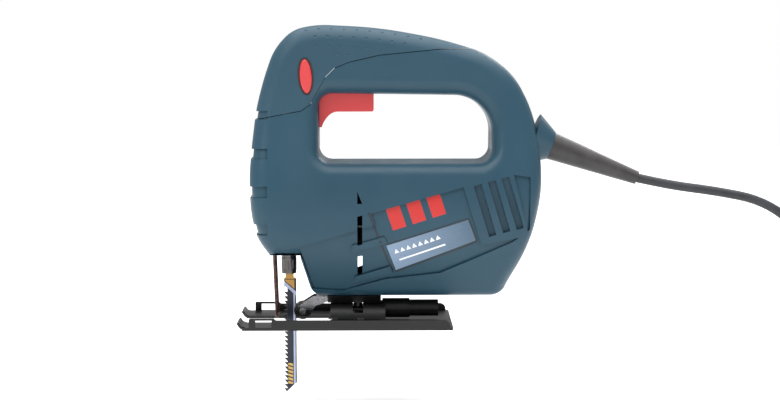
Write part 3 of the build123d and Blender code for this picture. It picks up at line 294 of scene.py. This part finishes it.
def moulded(name, dark, light, rough, skin=1500, skin_depth=0.00012, specular=0.5):
    """Injection moulded plastic: slow colour drift, spark-eroded skin and faint handling marks."""
    finish, tree, shader, coords = new_finish(name, light, rough, specular=specular)
    drift = mottle(tree, coords, 14, 5)
    shade_between(tree, drift, dark, light, shader.inputs["Base Color"], 0.25, 0.75)
    handled = mottle(tree, coords, 55, 6, (1, 1, 0.35))
    gloss_between(tree, shader, handled, rough - 0.07, rough + 0.07)
    relief_from(tree, shader, mottle(tree, coords, skin, 2), skin_depth, 0.3)
    return finish


housing_blue = moulded("housing_blue", (0.016, 0.052, 0.080), (0.021, 0.063, 0.094), 0.40, specular=0.3)
for shell in ("housing_left", "housing_right"):
    dress(shell, housing_blue)

# ---- top cover ----
# The separate cover over gear head and grip. Rows of small hollows are
# pressed into its top so that the palm doesn't slip.
cover_cad = frame["nodes"]["top_cover"]
cover_skin = BVHTree.FromObject(cover_cad, bpy.context.evaluated_depsgraph_get())
grip_cover = cover_cad.copy()
grip_cover.data = cover_cad.data.copy()
grip_cover.name = "grip_cover"
grip_cover.parent = None
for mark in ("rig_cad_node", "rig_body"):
    del grip_cover[mark]
bpy.context.scene.collection.objects.link(grip_cover)


def open_for_edit(piece):
    """Selects one piece and opens it in edit mode with all of it selected."""
    bpy.ops.object.select_all(action="DESELECT")
    bpy.context.view_layer.objects.active = piece
    piece.select_set(True)
    bpy.ops.object.mode_set(mode="EDIT")
    bpy.ops.mesh.select_all(action="SELECT")


open_for_edit(grip_cover)
bpy.ops.mesh.customdata_custom_splitnormals_clear()
bpy.ops.mesh.remove_doubles(threshold=1e-6)
bpy.ops.object.mode_set(mode="OBJECT")

HOLLOW_BALL, HOLLOW_SINK = 0.0016, 0.0011      # ball radius, and how far its centre stands out
HOLLOW_PITCH = 0.0087
ROW_HEART = 0.017                              # depth under the crest that the rows fan out from
NARROWEST = 0.008                              # a hollow nearer the heart than this is left out
# Lean from upright in degrees, first and last X of the row, whether it is staggered.
hollow_rows = [(0, -0.030, 0.068, 0), (22, -0.032, 0.060, 1), (44, -0.028, 0.054, 0),
               (62, -0.026, 0.040, 1), (80, -0.0215, 0.016, 0), (96, -0.0115, -0.001, 1)]
press_tools = []
for lean, first, last, stagger in hollow_rows:
    for side in ((1,) if lean == 0 else (-1, 1)):
        count = int((last - first) / HOLLOW_PITCH)
        for place in range(count + 1):
            x = first + (place + 0.5 * stagger) * HOLLOW_PITCH
            crest = cover_skin.ray_cast(Vector((x, 0.0006, 0.3)), Vector((0, 0, -1)))[0]
            if crest is None:
                continue
            out = Vector((0, side * math.sin(math.radians(lean)), math.cos(math.radians(lean))))
            heart = Vector((x, 0, crest.z - ROW_HEART))
            spot, facing = cover_skin.ray_cast(heart + out * 0.06, -out)[:2]
            if spot is None or abs(spot.x - x) > 0.0001 or (spot - heart).length < NARROWEST:
                continue
            bpy.ops.mesh.primitive_ico_sphere_add(
                subdivisions=2, radius=HOLLOW_BALL, location=spot + facing * HOLLOW_SINK)
            press_tools.append(bpy.context.object)
bpy.ops.object.select_all(action="DESELECT")
for tool in press_tools:
    tool.select_set(True)
bpy.context.view_layer.objects.active = press_tools[0]
bpy.ops.object.join()
press_tool = bpy.context.object
bpy.ops.object.select_all(action="DESELECT")
bpy.context.view_layer.objects.active = grip_cover
grip_cover.select_set(True)
pressing = grip_cover.modifiers.new("pressing", "BOOLEAN")
pressing.operation = "DIFFERENCE"
pressing.solver = "EXACT"
pressing.object = press_tool
bpy.ops.object.modifier_apply(modifier="pressing")
bpy.data.objects.remove(press_tool)
bpy.ops.object.shade_smooth_by_angle(angle=math.radians(32))
cover_blue = moulded("cover_blue", (0.019, 0.056, 0.084), (0.025, 0.067, 0.099), 0.46, specular=0.3)
grip_cover.data.materials.clear()
grip_cover.data.materials.append(cover_blue)
dress("top_cover", cover_blue)
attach(grip_cover, "housing")
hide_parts("top_cover")

# ---- rating plate ----
# A printed metal foil in a shallow seat on each flank, with a painted sheen that runs from light silver
# blue at the front to darker at the rear, dark strips of painted shadow round the seat, a row of teeth
# and a plain line.
plate_foil, tree, shader, coords = new_finish("plate_foil", (0.4, 0.47, 0.58), 0.32, specular=0.6)
sheen_fade = tree.nodes.new("ShaderNodeMapping")
sheen_fade.inputs["Location"].default_value = (-0.45, 0, 0)
sheen_fade.inputs["Scale"].default_value = (16.5, 0, 0)
tree.links.new(coords, sheen_fade.inputs["Vector"])
apart = tree.nodes.new("ShaderNodeSeparateXYZ")
tree.links.new(sheen_fade.outputs["Vector"], apart.inputs["Vector"])
# Painted sheen: the foil's colour is made lighter at the front and darker towards the rear.
shade_between(tree, apart.outputs["X"], (0.17, 0.25, 0.36), (0.045, 0.095, 0.15),
              shader.inputs["Base Color"], 0.05, 0.95)
gloss_between(tree, shader, mottle(tree, coords, 300, 4, (0.2, 1, 1)), 0.25, 0.4)
dress("name_plate", plate_foil)

plate_white = moulded("plate_white", (0.70, 0.72, 0.75), (0.80, 0.82, 0.84), 0.5)
shadow_line = moulded("shadow_line", (0.006, 0.014, 0.020), (0.010, 0.020, 0.028), 0.5)
PRINT_DEPTH = 0.00012
TRIANGLE_REACH = 0.58                          # centre to corner of a triangle about 1 across
TOOTH_SIZE, TOOTH_STEP, TOOTH_RISE = 0.0034, 0.0040, 0.00136


def printed_bar(name, middle, length, width, lean, side, onto, finish, corners=4):
    """A thin raised bar that follows a flank: middle is (x, z), lean its rise in degrees."""
    spot = (middle[0], side * 0.05, middle[1])
    turned = (math.radians(90), 0, 0)
    if corners == 4:
        bpy.ops.mesh.primitive_grid_add(x_subdivisions=24, y_subdivisions=2, size=1,
                                        location=spot, rotation=turned)
    else:
        bpy.ops.mesh.primitive_circle_add(vertices=corners, radius=TRIANGLE_REACH, fill_type="NGON",
                                          location=spot, rotation=turned)
    bar = bpy.context.object
    bar.name = name
    bar.scale = (length, width, 1)
    bpy.ops.object.transform_apply(location=False, rotation=False, scale=True)
    bpy.ops.object.transform_apply(location=False, rotation=True, scale=False)
    bar.rotation_euler = (0, -math.radians(lean), 0)
    bpy.ops.object.transform_apply(location=True, rotation=True, scale=True)
    laid = bar.modifiers.new("laid", "SHRINKWRAP")
    laid.target = frame["nodes"][onto]
    laid.wrap_method = "PROJECT"
    laid.use_project_y = True
    laid.use_negative_direction = side > 0
    laid.use_positive_direction = side < 0
    laid.offset = PRINT_DEPTH
    laid.wrap_mode = "ABOVE_SURFACE"
    bpy.ops.object.modifier_apply(modifier="laid")
    thick = bar.modifiers.new("thick", "SOLIDIFY")
    thick.thickness = PRINT_DEPTH * 1.5
    thick.offset = 0
    bpy.ops.object.modifier_apply(modifier="thick")
    open_for_edit(bar)
    bpy.ops.mesh.normals_make_consistent(inside=False)
    bpy.ops.object.mode_set(mode="OBJECT")
    bar.data.materials.append(finish)
    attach(bar, "housing")
    return bar


for side, shell, hand in ((-1, "housing_left", "left"), (1, "housing_right", "right")):
    for tooth in range(8):
        printed_bar(f"plate_tooth_{hand}_{tooth}",
                    (0.0335 + TOOTH_STEP * tooth, 0.0532 + TOOTH_RISE * tooth),
                    TOOTH_SIZE, TOOTH_SIZE, 18.8, side, "name_plate", plate_white, corners=3)
    printed_bar(f"plate_line_{hand}", (0.0510, 0.0528), 0.033, 0.0011, 19.6, side, "name_plate",
                plate_white)
    # Dark strips of painted shadow round the plate's seat: name, middle, length and rise in degrees of
    # each edge line.
    shadow_strip_lines = [("rear", (0.0850, 0.0682), 0.0164, -69.2), ("under", (0.0606, 0.0495), 0.0592, 21.6),
                  ("over", (0.0543, 0.0669), 0.0582, 17.9), ("front", (0.0226, 0.0595), 0.0450, -68.6)]
    for edge, middle, length, lean in shadow_strip_lines:
        printed_bar(f"plate_shadow_strip_{edge}_{hand}", middle, length, 0.0009 if edge == "over" else 0.0013,
                    lean, side, shell, shadow_line)

# ---- stripes ----
# Three slanted red stripes are laid into each flank above the plate,
# moulded in signal red plastic.
signal_red = moulded("signal_red", (0.44, 0.014, 0.012), (0.52, 0.022, 0.018), 0.42)
dress("trim_stripes", signal_red)

# ---- trigger, lock button and switch ----
# The red trigger rocks on a pin over the switch; the oval red button on
# the left flank holds it in. The switch is a closed black block.
trigger_red = moulded("trigger_red", (0.50, 0.032, 0.036), (0.58, 0.045, 0.048), 0.40)
dress("trigger", trigger_red)
dress("lock_button", trigger_red)
black_plastic = moulded("black_plastic", (0.012, 0.012, 0.013), (0.022, 0.022, 0.024), 0.38)
for piece in ("lock_bezel", "lock_guide", "switch_body", "cord_clamp", "brush_carrier"):
    dress(piece, black_plastic)
spring_steel = metal("spring_steel", (0.30, 0.30, 0.31), (0.48, 0.48, 0.50), 0.28)
for piece in ("lock_spring", "trigger_spring", "brush_springs"):
    dress(piece, spring_steel)
dress("switch_plunger", moulded("plunger_white", (0.50, 0.48, 0.43), (0.60, 0.58, 0.52), 0.45))
bright_steel = metal("bright_steel", (0.40, 0.40, 0.41), (0.58, 0.58, 0.60), 0.24)
dress("trigger_pin", bright_steel)

# ---- gear head ----
# A die-cast frame carries the wheel, the crank pin and the yoke that
# drives the plunger up and down in two sintered bushes.
cast_alloy = metal("cast_alloy", (0.38, 0.38, 0.39), (0.50, 0.50, 0.51), 0.5, grain=380, depth=0.0002)
dress("gear_frame", cast_alloy)
bush_bronze = metal("bush_bronze", (0.36, 0.22, 0.10), (0.52, 0.34, 0.17), 0.38)
dress("plunger_bushes", bush_bronze)
for piece in ("wheel_axle", "axle_ring", "crank_wheel", "crank_pin", "plunger_rod", "scotch_yoke",
              "armature_shaft", "front_bearing", "rear_bearing"):
    dress(piece, bright_steel)

# ---- motor ----
# A small series motor: laminated field and armature wound with lacquered
# copper, a copper commutator, carbon brushes in brass boxes, and a fan.
laminations = metal("laminations", (0.10, 0.10, 0.11), (0.30, 0.30, 0.31), 0.45, grain=900,
                    stretch=(1, 0.02, 0.02))
dress("stator_core", laminations)
dress("armature_core", laminations)
copper = metal("lacquered_copper", (0.35, 0.12, 0.05), (0.60, 0.24, 0.10), 0.3, grain=1100,
               stretch=(0.1, 1, 1))
dress("field_coils", copper)
dress("armature_windings", copper)
dress("commutator", metal("commutator_copper", (0.50, 0.25, 0.14), (0.72, 0.40, 0.25), 0.22,
                          grain=1500, stretch=(0.05, 1, 1)))
dress("brush_holders", metal("brush_brass", (0.45, 0.34, 0.13), (0.62, 0.50, 0.24), 0.3))
dress("carbon_brushes", rubber("brush_carbon", (0.010, 0.010, 0.011), (0.024, 0.024, 0.026), 0.6))
dress("fan", black_plastic)
dress("suppression_capacitor", moulded("capacitor_yellow", (0.60, 0.38, 0.03), (0.72, 0.47, 0.05), 0.4))

# ---- screws ----
# Zinc-plated screws with star sockets, run in from the right flank.
zinc_plate = metal("zinc_plate", (0.34, 0.34, 0.33), (0.50, 0.50, 0.49), 0.32)
dress("housing_screws", zinc_plate)
dress("clamp_screws", zinc_plate)

# ---- base ----
# Shoe, tilting saddle and sole are pressed from steel sheet and painted
# black; the paint is semi-gloss, with fine rub marks along the sole.


def painted_steel(name, dark, light, rough):
    """Black stoved paint with fine rub marks drawn along the tool."""
    finish, tree, shader, coords = new_finish(name, light, rough, specular=0.35)
    rubbed = mottle(tree, coords, 160, 5, (0.08, 1, 1))
    shade_between(tree, rubbed, dark, light, shader.inputs["Base Color"], 0.35, 0.75)
    gloss_between(tree, shader, rubbed, rough - 0.08, rough + 0.1)
    relief_from(tree, shader, mottle(tree, coords, 900, 3), 0.00008, 0.3)
    return finish


sole_paint = painted_steel("sole_paint", (0.004, 0.004, 0.0045), (0.010, 0.010, 0.011), 0.36)
for piece in ("sole_plate", "bevel_saddle", "base_shoe"):
    dress(piece, sole_paint)
blackened = metal("blackened_steel", (0.020, 0.020, 0.022), (0.060, 0.060, 0.064), 0.3)
for piece in ("saddle_screw", "saddle_washer"):
    dress(piece, blackened)
dress("sole_rivets", metal("rivet_steel", (0.25, 0.25, 0.26), (0.42, 0.42, 0.43), 0.3))

# ---- roller and guard ----
# The roller steadies the back of the blade in a pressed fork; in front of
# the blade hangs a bent guard wire, browned by oil.
dress("roller_fork", metal("fork_steel", (0.10, 0.10, 0.105), (0.22, 0.22, 0.23), 0.2))
dress("guide_roller", metal("roller_steel", (0.045, 0.042, 0.040), (0.11, 0.105, 0.10), 0.34))
dress("roller_pin", metal("pin_steel", (0.35, 0.35, 0.35), (0.55, 0.55, 0.55), 0.26))
dress("touch_guard", metal("guard_wire", (0.050, 0.028, 0.026), (0.12, 0.070, 0.062), 0.36))

# ---- blade and its clamp ----
# A quick clamp of hardened steel holds a T-shank wood blade. The blade has
# a bare gold shank and is printed dark blue with a light stripe at its back.
clamp_steel = metal("clamp_steel", (0.075, 0.070, 0.070), (0.17, 0.16, 0.16), 0.34, grain=500,
                    stretch=(1, 1, 0.1))
dress("blade_clamp", clamp_steel)
dress("clamp_collar", clamp_steel)

blade_print, tree, shader, coords = new_finish("blade_print", (0.02, 0.03, 0.07), 0.34, specular=0.6)
shader.inputs["Metallic"].default_value = 0.25


def along(tree, coords, direction):
    """Distance along a direction, in metres times the direction's length."""
    dot = tree.nodes.new("ShaderNodeVectorMath")
    dot.operation = "DOT_PRODUCT"
    dot.inputs[1].default_value = direction
    tree.links.new(coords, dot.inputs[0])
    return dot.outputs["Value"]


def compare(tree, value, operation, limit):
    """1 where a value is above (GREATER_THAN) or below (LESS_THAN) a limit."""
    test = tree.nodes.new("ShaderNodeMath")
    test.operation = operation
    test.inputs[1].default_value = limit
    tree.links.new(value, test.inputs[0])
    return test.outputs["Value"]


def both(tree, one, other, operation="MULTIPLY"):
    """Two tests combined: MULTIPLY for and, MAXIMUM for or."""
    join = tree.nodes.new("ShaderNodeMath")
    join.operation = operation
    tree.links.new(one, join.inputs[0])
    tree.links.new(other, join.inputs[1])
    return join.outputs["Value"]


def paint_over(tree, under, share, colour):
    """Lays a colour over a colour socket where share is 1; 6 and 7 are the colour inputs."""
    mix = tree.nodes.new("ShaderNodeMix")
    mix.data_type = "RGBA"
    tree.links.new(share, mix.inputs["Factor"])
    tree.links.new(under, mix.inputs[6])
    mix.inputs[7].default_value = (*colour, 1)
    return mix.outputs[2]


NAVY, WORN_NAVY, SKY = (0.006, 0.008, 0.018), (0.012, 0.015, 0.034), (0.42, 0.47, 0.66)
GOLD, INK = (0.50, 0.26, 0.040), (0.004, 0.004, 0.005)
GROUND_STEEL, MARK_GOLD = (0.022, 0.022, 0.024), (0.62, 0.40, 0.10)
TOOTH_EDGE = -0.0421                           # X of the print's front edge
STRIPE = (-0.0381, -0.0368)                    # X of the light stripe
STRIPE_HEAD = (-0.0140, -0.0112)               # slope at which the stripe crosses the blade
GOLD_FROM = -0.0103                            # slope above which the shank stays gold
MARK_ACROSS, MARK_UP = (-0.0420, -0.0386), (-0.0442, -0.0294)
MARK_BARS, BAR_SHARE = (120, 0, 380), 0.36     # bars per metre, and the dark share of each
OUTLINE_BACK, OUTLINE_UP = -0.0374, (0.0298, 0.0304)
slope = along(tree, coords, (0.9, 0, 1))
across = along(tree, coords, (1, 0, 0))
upward = along(tree, coords, (0, 0, 1))
below_slope = compare(tree, slope, "LESS_THAN", STRIPE_HEAD[1])
in_slope = both(tree, below_slope, compare(tree, slope, "GREATER_THAN", STRIPE_HEAD[0]))
in_stripe = both(tree, compare(tree, across, "GREATER_THAN", STRIPE[0]),
                 compare(tree, across, "LESS_THAN", STRIPE[1]))
stripe = both(tree, both(tree, in_stripe, below_slope), in_slope, "MAXIMUM")
gold_part = compare(tree, slope, "GREATER_THAN", GOLD_FROM)
wear = mottle(tree, coords, 260, 4, (1, 1, 0.3))
body_ramp = tree.nodes.new("ShaderNodeValToRGB")
body_ramp.color_ramp.elements[0].color = (*NAVY, 1)
body_ramp.color_ramp.elements[1].color = (*WORN_NAVY, 1)
tree.links.new(wear, body_ramp.inputs["Fac"])
toothed = compare(tree, across, "LESS_THAN", TOOTH_EDGE)
print_layer = paint_over(tree, body_ramp.outputs["Color"], toothed, GROUND_STEEL)
print_layer = paint_over(tree, print_layer, stripe, SKY)
print_layer = paint_over(tree, print_layer, gold_part, GOLD)
in_mark = both(tree, both(tree, compare(tree, across, "GREATER_THAN", MARK_ACROSS[0]),
                          compare(tree, across, "LESS_THAN", MARK_ACROSS[1])),
               both(tree, compare(tree, upward, "GREATER_THAN", MARK_UP[0]),
                    compare(tree, upward, "LESS_THAN", MARK_UP[1])))
bars = tree.nodes.new("ShaderNodeMath")
bars.operation = "FRACT"
tree.links.new(along(tree, coords, MARK_BARS), bars.inputs[0])
in_mark = both(tree, in_mark, compare(tree, bars.outputs["Value"], "GREATER_THAN", BAR_SHARE))
print_layer = paint_over(tree, print_layer, in_mark, MARK_GOLD)
outline_top = both(tree, compare(tree, upward, "GREATER_THAN", OUTLINE_UP[0]),
                   compare(tree, upward, "LESS_THAN", OUTLINE_UP[1]))
print_layer = paint_over(tree, print_layer, outline_top, INK)
outline_back = both(tree, both(tree, compare(tree, across, "GREATER_THAN", OUTLINE_BACK),
                               compare(tree, upward, "LESS_THAN", OUTLINE_UP[1])), gold_part)
print_layer = paint_over(tree, print_layer, outline_back, INK)
tree.links.new(print_layer, shader.inputs["Base Color"])
gloss_between(tree, shader, wear, 0.28, 0.42)
dress("saw_blade", blade_print)
